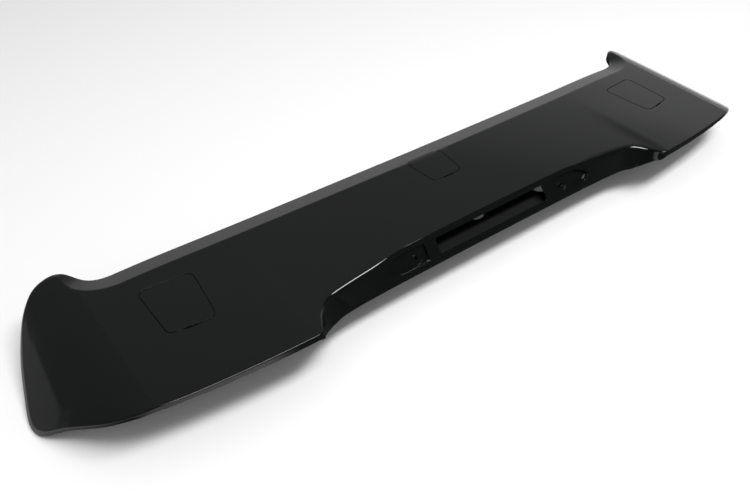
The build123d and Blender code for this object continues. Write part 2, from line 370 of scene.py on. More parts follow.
end_line = fair_curve(END_POINTS, 240)
SHIFT = np.array([0.0, shell_high.y * 1000 - end_line[:, 1].max(), -REST_Z])
print("shift in mm", SHIFT.round(2))
lead_points = [(494, 113.6), (360, leading_y(360)), (180, leading_y(180)), (0, FRONT_Y)]
lead_line = fair_curve(lead_points, 80, (-1, 0), (-1, 0))
end_line = end_line[end_line[:, 0] > notch_edge[-1][0] + CORNER_REACH]
keep = (notch_edge[:, 1] > REAR_Y + CORNER_REACH) | (notch_edge[:, 0] < 300)
notch_edge, notch_knee, notch_foot = notch_edge[keep], notch_knee[keep], notch_foot[keep]
corner = np.array([notch_edge[-1][0] + 1.5, REAR_Y])
turn = np.linspace(0, 1, 9)[1:-1, None]
corner_line = (1 - turn) ** 2 * notch_edge[-1][:2] + 2 * turn * (1 - turn) * corner + turn**2 * end_line[0]
side_line = np.r_[corner_line, end_line, lead_line[1:]]
whole_line = np.r_[notch_edge[:, :2], side_line]
whole_inward = inward_of(whole_line)
whole_inward[0] = (0, 1)
whole_inward[-1] = (0, -1)
print("stations of the right half", len(whole_line))

# %% [markdown]
# ## The band
#
# For each station this gives the width of the band and its own inward direction. The direction on the
# horn comes from a short list, because the band fans out round the inner corner. With the edge's own
# inward direction its columns would cross there.

# %% Band width and direction
horn_run = np.r_[0, np.cumsum(np.hypot(*np.diff(HORN_BAND[:, :2], axis=0).T))]
FADE, HORN_NARROWER = 40.0, 2.0
side_run = np.r_[0, np.cumsum(np.hypot(*np.diff(side_line, axis=0).T))]
lead_start = side_run[len(corner_line) + len(end_line) - 1]


def band_at(run, inward):
    """Width of the band, 0 where there is none, and its inward direction."""
    back = lead_start - run
    if back < 0:
        share = min(-back / HORN_BAND[0, 0], 1.0)
        return BAND_WIDTH - HORN_NARROWER * (1 - share), inward
    past = max(back - horn_run[-1], 0) / FADE
    width = float(np.interp(back, horn_run, HORN_BAND[:, 3])) * (1 - min(past, 1))
    lean = math.radians(np.interp(back, horn_run, HORN_BAND[:, 2]))
    own = np.array([math.sin(lean), -math.cos(lean)])
    mixed = own * (1 - min(2 * past, 1)) + inward * min(2 * past, 1)
    return width, mixed / np.hypot(*mixed)


print("band on the horn at 40 mm", band_at(lead_start - 40, np.array([1.0, 0.0])))

# %% [markdown]
# ## Building the columns
#
# Each column starts on the top surface a little way in, passes the crease of the band, the outer edge
# and the side wall, and turns under the wall into the hollow. The rounding at the outer edge reaches
# between 0.6 and 8 mm into the top, because the width of the line of light on the edge follows from it:
# the slanting parts of the notch and the side of the ends show one, and the straight part doesn't.

# %% One column
def on_top(xy):
    """Point of the top surface over a place of the plan."""
    return np.array([xy[0], xy[1], float(top_z(*xy))])


ROOM_SHARE, LEAD_IN = 2.25, 4.4
WALL_ROUNDINGS = (1.6, 0.9, 0.4)
RIM_RISE = 5.0


def column(edge_xy, inward, width, own, knee, foot, soft):
    """One column from the top surface to the inside of the wall."""
    room = max(width, ROOM_SHARE * soft[0])
    crease = on_top(edge_xy + own * room)
    start = on_top(edge_xy + own * (room + LEAD_IN))
    edge = on_top(edge_xy) - (0, 0, BAND_DROP * width / BAND_WIDTH)
    rim = np.r_[foot[:2] + inward * WALL, foot[2]]
    inside = rim + (0, 0, RIM_RISE)
    first = CREASE if width > 10 else 0.1 + 0.39 * width
    radii = (min(first, 0.2 * room), soft) + WALL_ROUNDINGS
    return rounded([start, crease, edge, knee, foot, rim, inside], radii, STEPS)


print("a column starts this far in, at least, in mm", LEAD_IN)

# %% Columns round the right half
EDGE_ROUNDING, NOTCH_LEG = 3.5, 6.0
STRAIGHT_ROUNDING = [(188, 0.6), (215, 7.0)]
CORNER_ROUNDING = [(5, 2.2), (38, 7.0)]
END_ROUNDING = [(0, 2.2), (190, 2.2), (300, 8.0), (480, 8.0), (540, EDGE_ROUNDING)]


def blend(x, pairs):
    """Smooth value between listed places."""
    xs, vs = zip(*pairs)
    i = int(np.clip(np.searchsorted(xs, x) - 1, 0, len(xs) - 2))
    return vs[i] + (vs[i + 1] - vs[i]) * float(smooth((x - xs[i]) / (xs[i + 1] - xs[i])))


columns = []
for edge, knee, foot, inward in zip(notch_edge, notch_knee, notch_foot, whole_inward):
    reach = blend(edge[0], STRAIGHT_ROUNDING)
    if edge[0] > STRAIGHT_ROUNDING[-1][0]:
        reach = blend(edge[1] - REAR_Y, CORNER_ROUNDING)
    columns.append(column(edge[:2], inward, 0.0, inward, knee, foot, (reach, min(reach, NOTCH_LEG))))
lean_out = (notch_foot[-1] - notch_edge[-1])[:2]
for i, (xy, run) in enumerate(zip(side_line, side_run)):
    inward = whole_inward[len(notch_edge) + i]
    width, own = band_at(run, inward)
    fade = max(0.0, 1 - (i + 1) / len(corner_line))
    edge_z = float(top_z(*xy)) - BAND_DROP * width / BAND_WIDTH
    foot = np.r_[xy + lean_out * fade, min(low_z(*xy), edge_z - 1.5)]
    knee = (np.r_[xy, edge_z] + foot) / 2
    reach = blend(run, END_ROUNDING) if width < 2 else EDGE_ROUNDING
    columns.append(column(xy, inward, width, own, knee, foot, (reach, EDGE_ROUNDING)))
print("columns of the right half", len(columns))

# %% Ring of columns
half = np.array(columns)
mirrored = half[::-1][1:-1] * (-1, 1, 1)
ring = np.r_[half, mirrored]
print("columns", ring.shape, "lowest point", ring[..., 2].min().round(2))

# %% [markdown]
# ## Filling flat areas
#
# The areas between the columns are filled with a triangle net: the outline and the holes are fixed, and
# evenly spaced points are sprinkled inside. The net is made flat and then lifted onto its surface.

# %% Points inside a loop or near it
def inside_loop(points, loop):
    """Which points lie inside a closed loop, by counting crossings."""
    x, y = points[:, 0], points[:, 1]
    hit = np.zeros(len(points), bool)
    for (xa, ya), (xb, yb) in zip(loop, np.roll(loop, -1, axis=0)):
        cross = (ya > y) != (yb > y)
        with np.errstate(divide="ignore", invalid="ignore"):
            hit ^= cross & (x < (xb - xa) * (y - ya) / (yb - ya) + xa)
    return hit


def near_loop(points, loop, gap):
    """Which points are closer to a dense loop than a gap."""
    closest = np.full(len(points), 1e9)
    for a, b in zip(loop, np.roll(loop, -1, axis=0)):
        along = np.clip((points - a) @ (b - a) / max((b - a) @ (b - a), 1e-9), 0, 1)[:, None]
        closest = np.minimum(closest, np.linalg.norm(points - a - along * (b - a), axis=1))
    return closest < gap


square = np.array([(0, 0), (20, 0), (20, 20), (0, 20)], float)
print("middle inside, corner near", inside_loop(square[:1] + 10, square), near_loop(square[:1], square, 1))

# %% Net of triangles over an area
LOOP_CLEAR, LINE_CLEAR = 0.55, 0.4


def net(outline, holes, spacing, lines=()):
    """Triangles over the area inside an outline and outside its holes."""
    loops = [np.asarray(outline)[:, :2]] + [np.asarray(h)[:, :2] for h in holes]
    low, high = loops[0].min(axis=0), loops[0].max(axis=0)
    gx, gy = (np.arange(a + spacing / 2, b, spacing) for a, b in zip(low, high))
    grid = np.array([(x + (j % 2) * spacing / 2, y) for j, y in enumerate(gy) for x in gx])
    good = inside_loop(grid, loops[0])
    for k, loop in enumerate(loops):
        good &= ~near_loop(grid, loop, spacing * LOOP_CLEAR)
        if k:
            good &= ~inside_loop(grid, loop)
    points, edges = [], []
    for loop in loops:
        n, s = len(loop), len(points)
        points.extend(loop.tolist())
        edges.extend((s + i, s + (i + 1) % n) for i in range(n))
    for line in lines:
        s = len(points)
        points.extend(np.asarray(line)[:, :2].tolist())
        edges.extend((s + i, s + i + 1) for i in range(len(line) - 1))
        good &= ~near_loop(grid, np.r_[line, line[::-1]], spacing * LINE_CLEAR)
    points.extend(grid[good].tolist())
    found = delaunay_2d_cdt([Vector(p) for p in points], edges, [], 0, 1e-6)
    flat = np.array([tuple(v) for v in found[0]])
    faces = np.array([f for f in found[2] if len(f) == 3])
    middle = flat[faces].mean(axis=1)
    keep = inside_loop(middle, loops[0])
    for loop in loops[1:]:
        keep &= ~inside_loop(middle, loop)
    faces = faces[keep]
    a, b, c = (flat[faces[:, i]] for i in range(3))
    turn = (b[:, 0] - a[:, 0]) * (c[:, 1] - a[:, 1]) - (b[:, 1] - a[:, 1]) * (c[:, 0] - a[:, 0])
    faces[turn < 0] = faces[turn < 0][:, ::-1]
    return flat, faces[np.abs(turn) > 1e-6]


print("triangles over a small square", len(net(square, [], 5.0)[1]))

# %% [markdown]
# ## Strips and skins
#
# Where columns stand side by side, quads join each one to the next. A skin collects all such patches in
# millimetres, welds their shared rims and makes one smooth mesh, with a hard line where two faces meet
# at more than 35 degrees. Normals weighted by face size keep the reflections on large faces straight.

# %% Strips
def strip(columns_in_a_ring):
    """Quads between neighbouring columns of equal length, all the way round."""
    grid = np.asarray(columns_in_a_ring, float)
    n, m = grid.shape[:2]
    faces = []
    for i in range(n):
        a, b = i * m, (i + 1) % n * m
        faces.extend((a + j, a + j + 1, b + j + 1, b + j) for j in range(m - 1))
    return grid.reshape(-1, 3), faces


print("quads round the edge", len(strip(ring)[1]))

# %% Skins
WELD, SLIVER = 2e-6, 1e-6
SHARP_DEGREES = 35
FACE_WEIGHT = 60


class Skin:
    """Collects patches in millimetres and joins them to one mesh object."""

    def __init__(self):
        self.points, self.faces = [], []

    def add(self, points, faces, flip=False):
        start = len(self.points)
        self.points.extend(np.asarray(points, float).tolist())
        for f in faces:
            f = [start + int(i) for i in f]
            self.faces.append(f[::-1] if flip else f)

    def make(self, name):
        mesh = bpy.data.meshes.new(name)
        mesh.from_pydata(to_metres(self.points).tolist(), [], self.faces)
        work = bmesh.new()
        work.from_mesh(mesh)
        bmesh.ops.remove_doubles(work, verts=work.verts, dist=WELD)
        bmesh.ops.dissolve_degenerate(work, dist=SLIVER, edges=work.edges)
        work.to_mesh(mesh)
        work.free()
        mesh.shade_smooth()
        mesh.set_sharp_from_angle(angle=math.radians(SHARP_DEGREES))
        made = bpy.data.objects.new(name, mesh)
        bpy.context.scene.collection.objects.link(made)
        weigh = made.modifiers.new("even shading", "WEIGHTED_NORMAL")
        weigh.keep_sharp = True
        weigh.weight = FACE_WEIGHT
        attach(made, "root")
        print(name, len(mesh.vertices), "points", len(mesh.polygons), "faces")
        return made


print("welded under mm", WELD * 1000, "sharp over degrees", SHARP_DEGREES)

# %% [markdown]
# ## Hatch openings
#
# Three lids close the openings over the fixing bolts. Each opening is a rounded four-sided shape with a
# small widening in the middle of its rear side, where a flat tool lifts the lid.

# %% Loops with round corners
def rounded_loop(corners, radius, step=1.6):
    """Closed loop through a polygon with round corners, anticlockwise."""
    c = np.array(corners, float)
    out = []
    for before, at, after in zip(np.roll(c, 1, axis=0), c, np.roll(c, -1, axis=0)):
        u, v = ((p - at) / np.linalg.norm(p - at) for p in (before, after))
        half_turn = math.acos(np.clip(u @ v, -1, 1)) / 2
        reach = radius / math.tan(half_turn)
        centre = at + (u + v) / np.linalg.norm(u + v) * radius / math.sin(half_turn)
        a, b = at + u * reach - centre, at + v * reach - centre
        sweep = math.pi - 2 * half_turn
        for s in np.linspace(0, 1, 10):
            out.append(centre + (a * math.sin((1 - s) * sweep) + b * math.sin(s * sweep)) / math.sin(sweep))
    loop = []
    for a, b in zip(out, out[1:] + out[:1]):
        parts = max(1, round(np.linalg.norm(b - a) / step))
        loop.extend(a + (b - a) * k / parts for k in range(parts))
    return np.array(loop)


def grown(loop, amount):
    """A loop moved outwards, square to itself."""
    step = np.roll(loop, -1, axis=0) - np.roll(loop, 1, axis=0)
    step /= np.linalg.norm(step, axis=1)[:, None]
    return loop + np.c_[step[:, 1], -step[:, 0]] * np.broadcast_to(amount, len(loop))[:, None]


print("points round a small square", len(rounded_loop(square, 4.0)))

# %% Outlines of the hatches
SIDE_HATCH = [(418, -51), (480, -40.5), (484, 49.5), (409, 41.5)]
MIDDLE_HATCH = [(-28, 2.5), (28, 2.5), (34.5, 67), (-34.5, 67)]
HATCH_RADIUS = 11.0
HATCH_GAP = 1.2
PRY_LENGTH = 18.0
PRY_WIDTH = 1.4


def opening_loop(corners):
    """Loop of a hatch opening with the widening for the lifting tool."""
    loop = rounded_loop(corners, HATCH_RADIUS)
    c = np.array(corners, float)
    rear = sorted(c.tolist(), key=lambda p: p[1])[:2]
    mid = np.mean(rear, axis=0)
    away = np.linalg.norm(loop - mid, axis=1)
    return grown(loop, PRY_WIDTH * np.clip((PRY_LENGTH / 2 + 1 - away) / 1.5, 0, 1))


hatch_corners = {
    "hatch_left": [(-x, y) for x, y in SIDE_HATCH][::-1],
    "hatch_middle": MIDDLE_HATCH,
    "hatch_right": SIDE_HATCH,
}
openings = {name: opening_loop(c) for name, c in hatch_corners.items()}
print("points round an opening", len(openings["hatch_right"]))

# %% [markdown]
# ## The painted shell
#
# The shell is one moulding, sprayed from outside. A subdivision surface over a coarse cage could make it,
# but it would soften the crisp lines, so the skin joins the columns, a net over the top and a net over
# the lamp wall. The middle hatch cuts into the front band, so near it the columns start on the band, and
# the net of the top covers the crease. The net also has rows of points along the start of the bend and of
# the lip, so that these stay crisp.

# %% Columns that start on the band near the middle hatch
MIDDLE_HALF = 46.0
LATE_START, LATE_CREASE = 9.0, 13.0
late = np.zeros(len(ring), bool)
for i, rows in enumerate(ring):
    x, y = rows[2 * STEPS, :2]
    if abs(x) < MIDDLE_HALF and y > 0:
        late[i] = True
        front = leading_y(x) - BAND_WIDTH
        for j, into in enumerate(np.linspace(LATE_START, LATE_CREASE, STEPS + 1)):
            rows[j] = (x, front + into, float(skin_z(x, front + into)))
late_ids = np.flatnonzero(late)
first_late, last_late = late_ids[0], late_ids[-1]
print("columns that start on the band", len(late_ids))

# %% Top and sides of the shell
PANEL_TOP_ROW, PANEL_LOW_ROW = 2 * STEPS, 2 * STEPS + 1
PANEL_END_X, PANEL_END_Y = 216.0, -95.0
panel_count = int(np.sum((notch_edge[:, 0] < PANEL_END_X) & (notch_edge[:, 1] > PANEL_END_Y)))
total, height = ring.shape[:2]
panel_ids = list(range(total - panel_count + 1, total)) + list(range(panel_count))
left_out = {i * height + PANEL_TOP_ROW for i in panel_ids[:-1]}
for i in (first_late - 1, last_late):
    left_out |= {i * height + j for j in range(STEPS)}

shell = Skin()
ring_points, ring_faces = strip(ring)
shell.add(ring_points, [f for f in ring_faces if f[0] not in left_out])
outline = []
for i, rows in enumerate(ring):
    path = rows[:1]
    if i in (first_late - 1, last_late):
        path = rows[: STEPS + 1]
    if i in (first_late, last_late + 1):
        path = rows[STEPS::-1]
    outline.extend(path)
outline = np.array(outline)
print("points round the top", len(outline))

# %% Rows of net points along the crease, the bend and the lip
crease_end = ring[first_late - 1, 1:STEPS, 0].mean() - 2
crease_lines = []
for into in (-2.0, 0.0, 2.0):
    xs = np.linspace(-crease_end, crease_end, 24)
    crease_lines.append(np.c_[xs, [leading_y(x) - BAND_WIDTH + into for x in xs]])
FOLD_STEPS = (-0.5, 0.8, 2.0, 3.2, 4.5)
fold_lines = []
for side in (-1, 1):
    for fold_x, skew in ((BEND_X, BEND_SKEW), (LIP_X, LIP_SKEW)):
        for out in FOLD_STEPS:
            ys = np.linspace(-148, 150, 80)
            line = np.c_[side * (fold_x + skew * ys + out), ys]
            free = inside_loop(line, outline[:, :2]) & ~near_loop(line, outline[:, :2], 1.5)
            fold_lines.append(line[free])
print("rows of points", len(crease_lines) + len(fold_lines))

# %% Net over the top
rim_z = {(round(x, 4), round(y, 4)): z for x, y, z in outline}


def lift_to_skin(flat):
    """Net points on the top surface, with the rim points exactly where the columns have them."""
    z = skin_z(flat[:, 0], flat[:, 1])
    z = np.where(np.abs(flat[:, 0]) < 2 * MIDDLE_HALF, z, top_z(flat[:, 0], flat[:, 1]))
    known = [rim_z.get((round(float(x), 4), round(float(y), 4))) for x, y in flat]
    return np.c_[flat, [a if b is None else b for a, b in zip(z, known)]]


EDGE_START, TOP_SPACING = 0.8, 7.0
holes = [grown(loop, EDGE_START) for loop in openings.values()]
flat, faces = net(outline, holes, TOP_SPACING, crease_lines + fold_lines)
shell.add(lift_to_skin(flat), faces)
print("faces on top", len(faces))

# %% [markdown]
# ## Edges of the hatch openings
#
# Each opening has a small rounding, a wall as thick as the moulding and a ledge that carries the lid. It
# could be cut with a boolean and bevelled, but that leaves long thin faces, and gloss paint shows them.
# Here the same small section stands at each point of the opening, and a strip joins them.

# %% Opening walls and ledges
LEDGE_LIP = 7.0
LEDGE_THICK = 2.5


def on_skin(loop, depth=0.0):
    """Loop laid on the top, or at a depth under it."""
    z = skin_z(loop[:, 0], loop[:, 1]) - depth
    return np.c_[loop, z]


for loop in openings.values():
    bands = [
        on_skin(grown(loop, EDGE_START)),
        on_skin(loop),
        on_skin(loop, WALL),
        on_skin(grown(loop, -LEDGE_LIP), WALL),
        on_skin(grown(loop, -LEDGE_LIP), WALL + LEDGE_THICK),
    ]
    walls = [rounded(c, (0.5, 0.2, 0.2), 4) for c in zip(*bands)]
    shell.add(*strip(walls), flip=True)
print("ledge top and foot in mm under the top", WALL, WALL + LEDGE_THICK)

# %% [markdown]
# ## The lamp wall
#
# The slanted wall in the notch carries the high brake lamp behind a long window. At each side of it is a
# D-shaped pocket with a screw hole in a raised ring. The outlines are drawn flat, across and up the slope,
# and then laid on the wall, so that one even net fills the wall between them.

# %% Frame of the lamp wall
WALL_MID = np.array([0.0, -100.5, -14.75])
UP_SLOPE = np.array([0.0, LAMP_WALL_TOP[0] - LAMP_WALL_LOW[0], LAMP_WALL_TOP[1] - LAMP_WALL_LOW[1]])
UP_SLOPE /= np.linalg.norm(UP_SLOPE)
OUT_OF_WALL = np.array([0.0, -UP_SLOPE[2], UP_SLOPE[1]])
top_rail, low_rail = notch_lines(60)


def wall_surface(x, z):
    """Point of the notch wall at a place along the span and a height."""
    share = (NOTCH_TOP_Z - z) / (NOTCH_TOP_Z - NOTCH_LOW_Z)
    rail = top_rail + (low_rail - top_rail) * share
    return np.array([x, float(np.interp(abs(x), rail[:, 0], rail[:, 1])), z])


def on_lamp_wall(loop):
    """Loop given across and up the slope, laid on the wall surface."""
    return np.array([wall_surface(u, WALL_MID[2] + UP_SLOPE[2] * v) for u, v in loop])


def below_wall(loop, depth):
    """Loop given across and up the slope, at a depth under the flat of the wall."""
    u, v = np.asarray(loop).T
    return WALL_MID + np.outer(u, (1, 0, 0)) + np.outer(v, UP_SLOPE) - depth * OUT_OF_WALL


print("slope of the lamp wall in degrees", round(math.degrees(math.asin(UP_SLOPE[2])), 1))

# %% Window and pocket outlines
POCKET_INNER, POCKET_END, POCKET_TURN = 126.0, 200.0, 172.0
POCKET_HIGH, POCKET_LOW, POCKET_DEPTH = 13.0, -12.5, 4.0
WINDOW_CORNERS, WINDOW_RADIUS = [(-106, -11), (106, -11), (106, 12.6), (-106, 12.6)], 2.5
window = rounded_loop(WINDOW_CORNERS, WINDOW_RADIUS, 4.0)
bow_points = [(POCKET_TURN, POCKET_LOW), (POCKET_END, -1), (POCKET_TURN, POCKET_HIGH)]
bow = fair_curve(bow_points, 40, (1, 0), (-1, 0))
straight = [(x, POCKET_HIGH) for x in np.arange(POCKET_TURN - 4, POCKET_INNER + 1, -4)]
inner_side = [(POCKET_INNER, v) for v in np.linspace(POCKET_HIGH - 1.5, POCKET_LOW + 1.5, 7)]
back_again = [(x, POCKET_LOW) for x in np.arange(POCKET_INNER + 2, POCKET_TURN - 2, 4)]
pocket_right = np.array(list(map(tuple, bow)) + straight + inner_side + back_again)
pocket_left = (pocket_right * (-1, 1))[::-1]
print("window and pocket points", len(window), len(pocket_right))

# %% Net over the lamp wall
RIM, WALL_SPACING = 1.0, 4.0
panel_top = ring[panel_ids, PANEL_TOP_ROW]
panel_low = ring[panel_ids, PANEL_LOW_ROW]
panel_outline = np.r_[panel_low, panel_top[::-1]]
rims = [on_lamp_wall(grown(loop, RIM)) for loop in (window, pocket_left, pocket_right)]
flat, faces = net(panel_outline[:, [0, 2]], [r[:, [0, 2]] for r in rims], WALL_SPACING)
rim_y = {(round(x, 4), round(z, 4)): y for x, y, z in np.r_[panel_outline, *rims]}
lifted = np.array([wall_surface(x, z) for x, z in flat])
for p in lifted:
    p[1] = rim_y.get((round(float(p[0]), 4), round(float(p[2]), 4)), p[1])
shell.add(lifted, faces)
print("faces on the lamp wall", len(faces))

# %% Window edge
WINDOW_LEDGE = 6.0
bands = [
    on_lamp_wall(grown(window, RIM)),
    on_lamp_wall(window),
    below_wall(window, WALL),
    below_wall(grown(window, WINDOW_LEDGE), WALL),
]
shell.add(*strip([rounded(c, (0.7, 0.3), 4) for c in zip(*bands)]), flip=True)
print("points round the window", len(window))

# %% [markdown]
# ## Screw pockets
#
# The floor of each pocket is flat. Round the screw hole it has a shallow dish, and a ring stands up from
# the dish as a small firm seat. One profile of the dish and the ring is turned about the screw's axis, as
# a spin or a screw modifier would turn it, and is then joined to the net of the floor.

# %% Pocket walls, floors and screw rings
SCREW_X, SCREW_V = 144.0, -0.5
RING_PROFILE = [(10.9, 0), (10.5, 0), (10.1, -0.8), (4.8, -0.8), (4.4, 1.2), (2.4, 1.2), (2.0, -12)]
profile = rounded([(r, 0, h) for r, h in RING_PROFILE], (0.3, 0.3, 0.35, 0.35, 0.3), 5)
angles = np.linspace(0, 2 * math.pi, 49)[:-1]
circle = np.c_[np.cos(angles), np.sin(angles)]
for loop, side in ((pocket_left, -1), (pocket_right, 1)):
    inner = grown(loop, -RIM)
    bands = [
        on_lamp_wall(grown(loop, RIM)),
        on_lamp_wall(loop),
        below_wall(loop, POCKET_DEPTH),
        below_wall(inner, POCKET_DEPTH),
    ]
    shell.add(*strip([rounded(c, (0.45, 0.35), 5) for c in zip(*bands)]), flip=True)
    centre = np.array([side * SCREW_X, SCREW_V])
    flat, faces = net(inner, [centre + circle * profile[0][0]], WALL_SPACING)
    shell.add(below_wall(flat, POCKET_DEPTH), faces)
    turned = [[below_wall([centre + c * r], POCKET_DEPTH - h)[0] for r, _, h in profile] for c in circle]
    shell.add(*strip(turned), flip=True)

painted_shell = shell.make("painted_shell")
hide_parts("wing_shell")

# %% [markdown]
# ## Hatch lids
#
# The lids are flush with the top. The gap round them is 0.7 mm on the real object and is drawn at 1.2 mm,
# so that it shows as a dark line. The lids are made from the same surface as the top, so reflections run
# on over them, as they do on parts that come out of one tool. The middle one carries on the crease of the
# front band.

# %% Lids
LID_EDGE, LID_SPACING = 0.7, 6.0
for name, corners in hatch_corners.items():
    loop = grown(rounded_loop(corners, HATCH_RADIUS), -HATCH_GAP)
    under = grown(loop, -LID_EDGE)
    low, high = loop.min(axis=0) + 3, loop.max(axis=0) - 3
    lines = [line[(line[:, 0] > low[0]) & (line[:, 0] < high[0])] for line in crease_lines]
    flat, faces = net(under, [], LID_SPACING, lines if name == "hatch_middle" else [])
    lid = Skin()
    lid.add(on_skin(flat), faces)
    lid.add(on_skin(flat, WALL), faces, flip=True)
    bands = [on_skin(under), on_skin(loop), on_skin(loop, WALL), on_skin(under, WALL)]
    lid.add(*strip([rounded(c, (0.45, 0.3), 4) for c in zip(*bands)]))
    made = lid.make(name + "_lid")
    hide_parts(name)

# %% [markdown]
# ## Materials
#
# Colours are written as sRGB hex values, as a paint chart gives them, and one function turns them to the
# linear values that a renderer needs. One small function adds a node with its settings and links.

# %% Helpers for materials
def linear(code):
    """Linear colour from an sRGB hex value."""
    parts = [int(code[i : i + 2], 16) / 255 for i in (1, 3, 5)]
    return [c / 12.92 if c <= 0.04045 else ((c + 0.055) / 1.055) ** 2.4 for c in parts] + [1.0]


def add_node(tree, kind, settings=None, values=None, links=None):
    """A node with its settings, its socket values and the sockets that feed it."""
    node = tree.nodes.new(kind)
    for key, value in (settings or {}).items():
        setattr(node, key, value)
    for key, value in (values or {}).items():
        node.inputs[key].default_value = value
    for key, source in (links or {}).items():
        tree.links.new(source, node.inputs[key])
    return node


def new_material(name):
    """An empty material and its node tree."""
    material = bpy.data.materials.new(name)
    material.use_nodes = True
    material.node_tree.nodes.clear()
    return material, material.node_tree


print("mid grey in linear", round(linear("#808080")[0], 3))

# %% [markdown]
# ## Gloss black paint on ABS
#
# The moulding is sprayed black and cleared, so the eye sees almost only reflections. Sprayed paint is
# never quite flat: it has a faint orange-peel wave a few millimetres long, and the clear coat has fine
# hair scratches that spread a highlight a little. The waves are drawn 6 mm long so that they show, and
# the scratches as patches of slightly different roughness, about 110 mm wide, as polishing leaves them.
# A picture could carry both, but noise in object space needs no unwrapped skin and has no seams.

# %% Paint
PEEL_MM, HAZE_MM = 6.25, 111.11
paint, tree = new_material("gloss black paint")
place = add_node(tree, "ShaderNodeTexCoord").outputs["Object"]
peel_values = {"Scale": 1000 / PEEL_MM, "Detail": 2.0, "Roughness": 0.5}
peel = add_node(tree, "ShaderNodeTexNoise", {}, peel_values, {"Vector": place})
wave = {"Strength": 0.05, "Distance": 0.0004}
peel_bump = add_node(tree, "ShaderNodeBump", {}, wave, {"Height": peel.outputs["Fac"]})
haze_values = {"Scale": 1000 / HAZE_MM, "Detail": 5.0, "Roughness": 0.6}
haze = add_node(tree, "ShaderNodeTexNoise", {}, haze_values, {"Vector": place})
haze_levels = {"From Min": 0.3, "From Max": 0.75, "To Min": 0.045, "To Max": 0.075}
haze_range = add_node(tree, "ShaderNodeMapRange", {}, haze_levels, {"Value": haze.outputs["Fac"]})
paint_body = add_node(
    tree,
    "ShaderNodeBsdfPrincipled",
    values={"Base Color": linear("#0c0e0d"), "IOR": 1.5},
    links={"Roughness": haze_range.outputs["Result"], "Normal": peel_bump.outputs["Normal"]},
)
add_node(tree, "ShaderNodeOutputMaterial", links={"Surface": paint_body.outputs["BSDF"]})
for piece in bpy.data.objects:
    if piece.type == "MESH" and (piece.name == "painted_shell" or piece.name.endswith("_lid")):
        piece.data.materials.clear()
        piece.data.materials.append(paint)
print("paint has", len(tree.nodes), "nodes")

# %% [markdown]
# ## Moulded black ABS
#
# The lower panel isn't painted. It comes from a tool with a fine spark-eroded grain, which gives a matt
# black with a soft sheen. The grain is about 0.8 mm and is drawn at 2 mm, so that it shows. The plastic
# also shows wide soft patches, about 170 mm, from the way it flowed in the tool.

# %% Moulded plastic
GRAIN_MM, FLOW_MM = 2.0, 166.67
moulded, tree = new_material("moulded black ABS")
place = add_node(tree, "ShaderNodeTexCoord").outputs["Object"]
grain_values = {"Scale": 1000 / GRAIN_MM, "Detail": 3.0, "Roughness": 0.6}
grain = add_node(tree, "ShaderNodeTexNoise", {}, grain_values, {"Vector": place})
pit = {"Strength": 0.35, "Distance": 0.0003}
grain_bump = add_node(tree, "ShaderNodeBump", {}, pit, {"Height": grain.outputs["Fac"]})
flow_values = {"Scale": 1000 / FLOW_MM, "Detail": 4.0, "Roughness": 0.5}
flow = add_node(tree, "ShaderNodeTexNoise", {}, flow_values, {"Vector": place})
flow_levels = {"From Min": 0.3, "From Max": 0.7, "To Min": 0.48, "To Max": 0.6}
flow_range = add_node(tree, "ShaderNodeMapRange", {}, flow_levels, {"Value": flow.outputs["Fac"]})
moulded_body = add_node(
    tree,
    "ShaderNodeBsdfPrincipled",
    values={"Base Color": linear("#101111"), "IOR": 1.45},
    links={"Roughness": flow_range.outputs["Result"], "Normal": grain_bump.outputs["Normal"]},
)
add_node(tree, "ShaderNodeOutputMaterial", links={"Surface": moulded_body.outputs["BSDF"]})
panel = frame["nodes"]["lower_panel"]
panel.data.materials.clear()
panel.data.materials.append(moulded)
print("moulded ABS has", len(tree.nodes), "nodes")

# %% [markdown]
# ## Camera
#
# The photograph was taken from behind, to the left and above, with a lens of medium length. The place
# and the turn of the camera were worked out from points of the left half and their mirror twins.

# %% Camera
CAMERA_PLACE = (-629.4, -661.1, 634.9)
CAMERA_RIGHT = Vector((0.8038, -0.5949, -0.0016))
CAMERA_UP = Vector((0.3887, 0.5231, 0.7584))
camera_data = bpy.data.cameras.new("camera")
camera_data.sensor_width = 36.0
camera_data.lens = 34.56
camera_data.clip_start, camera_data.clip_end = 0.05, 50.0
camera = bpy.data.objects.new("camera", camera_data)
camera_back = CAMERA_RIGHT.cross(CAMERA_UP)
camera_turn = Matrix((CAMERA_RIGHT, CAMERA_UP, camera_back)).transposed().to_4x4()
camera.matrix_world = Matrix.Translation(Vector(to_metres(CAMERA_PLACE))) @ camera_turn
bpy.context.scene.collection.objects.link(camera)
bpy.context.scene.camera = camera
print("camera at", [round(v, 3) for v in camera.location])

# %% [markdown]
# ## Floor and light
#
# The studio is plain: a pale floor that runs to a white surround. A long soft lamp hangs overhead, on the
# side of the trailing edge, and draws the lines of light along the edges. A gloss black part is a dark
# mirror and shows the room: bright low down in front, where the white sweep stands, and darker high up,
# behind and to the left. In zones round and behind the part the floor is painted dark for reflections
# only. This is painted shade, put there because a bright floor would turn the upright walls of the notch
# grey.

# %% Floor
FLOOR_REACH = 30.0
FLOOR_CORNERS = [(x * FLOOR_REACH, y * FLOOR_REACH, 0) for x, y in ((-1, -1), (1, -1), (1, 1), (-1, 1))]
floor_mesh = bpy.data.meshes.new("studio_floor")
floor_mesh.from_pydata(FLOOR_CORNERS, [], [(0, 1, 2, 3)])
floor = bpy.data.objects.new("studio_floor", floor_mesh)
bpy.context.scene.collection.objects.link(floor)
floor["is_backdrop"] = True
print("floor in metres", 2 * FLOOR_REACH)
